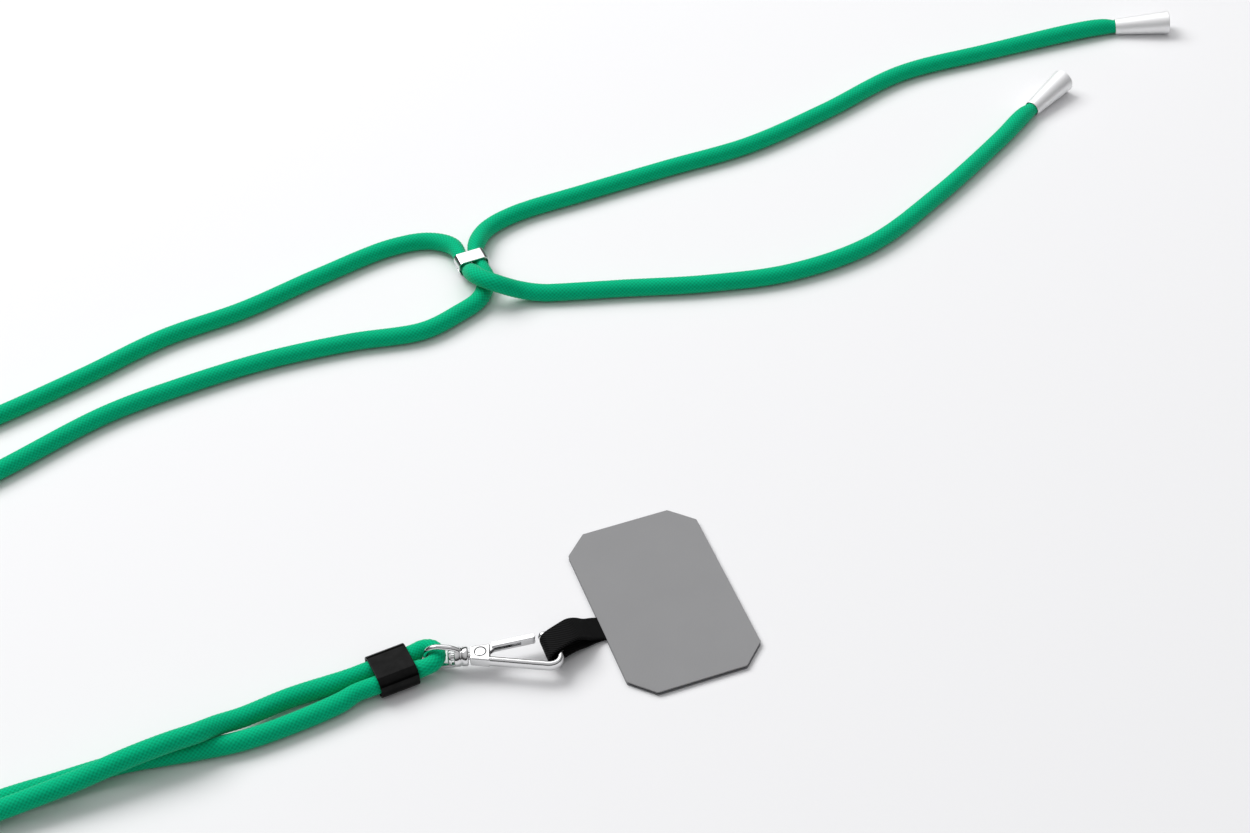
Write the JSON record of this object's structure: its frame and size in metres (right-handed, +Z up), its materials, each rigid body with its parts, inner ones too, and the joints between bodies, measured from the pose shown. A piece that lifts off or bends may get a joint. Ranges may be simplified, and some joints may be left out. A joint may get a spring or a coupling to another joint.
{
  "type": "cord lanyard",
  "caption": "Adjustable round braided cord lanyard with metal cone ends, a strand clamp, a keeper sleeve, a swivel trigger hook and a webbing tab on a flat tether patch.",
  "frame": {"origin": "middle of the tether patch's underside, on the surface that the lanyard lies on", "axes": "+Z up from that surface; +X along the swivel hook's axis, from its eye towards its bow"},
  "size_m": [0.4701, 0.3327, 0.0113],
  "materials": {
    "green_braid": "round polyester braid, matt",
    "satin_silver": "satin plated",
    "polished_nickel": "polished nickel plate",
    "black_gloss": "gloss black",
    "spring_steel": "bright drawn wire",
    "black_webbing": "coarse woven tape",
    "grey_film": "flexible film",
    "grey_cloth": "fine twill"
  },
  "bodies": {
    "lanyard": {"cord": "green_braid", "end_cap_a": "satin_silver", "end_cap_b": "satin_silver", "end_plug_a": "satin_silver", "end_plug_b": "satin_silver", "strand_clamp": "polished_nickel"},
    "keeper": {"keeper_sleeve": "black_gloss"},
    "eye": {"swivel_eye": "polished_nickel"},
    "hook": {"swivel_post": "polished_nickel", "hook_frame": "polished_nickel", "gate_rivet": "polished_nickel", "gate_spring": "spring_steel"},
    "gate": {"gate_lever": "polished_nickel"},
    "tab": {"tab_webbing": "black_webbing"},
    "patch": {"patch_back": "grey_film", "patch_core": "grey_film", "patch_face": "grey_cloth"}
  },
  "joints": [
    {"name": "keeper_slide", "type": "slide", "parent": "lanyard", "child": "keeper", "axis": [0.9205, 0.3907, 0], "range_m": [-0.006, 0.0015], "deforming": ["cord"]},
    {"name": "eye_tilt", "type": "hinge", "parent": "lanyard", "child": "eye", "pos_m": [-0.0615, -0.0193, 0.005], "axis": [0, 1, 0], "range_deg": [-80, 0]},
    {"name": "swivel_spin", "type": "hinge", "parent": "eye", "child": "hook", "pos_m": [-0.055, -0.02, 0.005], "axis": [1, 0, 0], "continuous": true},
    {"name": "gate_swing", "type": "hinge", "parent": "hook", "child": "gate", "pos_m": [-0.0499, -0.0198, 0.005], "axis": [0, 0, 1], "range_deg": [-17, 0], "stiffness_Nm_per_rad": 0.01, "springref_deg": 20.05, "deforming": ["gate_spring"]},
    {"name": "tab_swing", "type": "hinge", "parent": "hook", "child": "tab", "pos_m": [-0.0285, -0.02, 0.005], "axis": [0, 1, 0], "range_deg": [-60, 0], "deforming": ["tab_webbing"]},
    {"name": "patch_fold", "type": "hinge", "parent": "tab", "child": "patch", "pos_m": [-0.01838, -0.00572, 0.0007], "axis": [-0.2974, 0.9548, 0], "range_deg": [-75, 0], "deforming": ["tab_webbing"]}
  ]
}
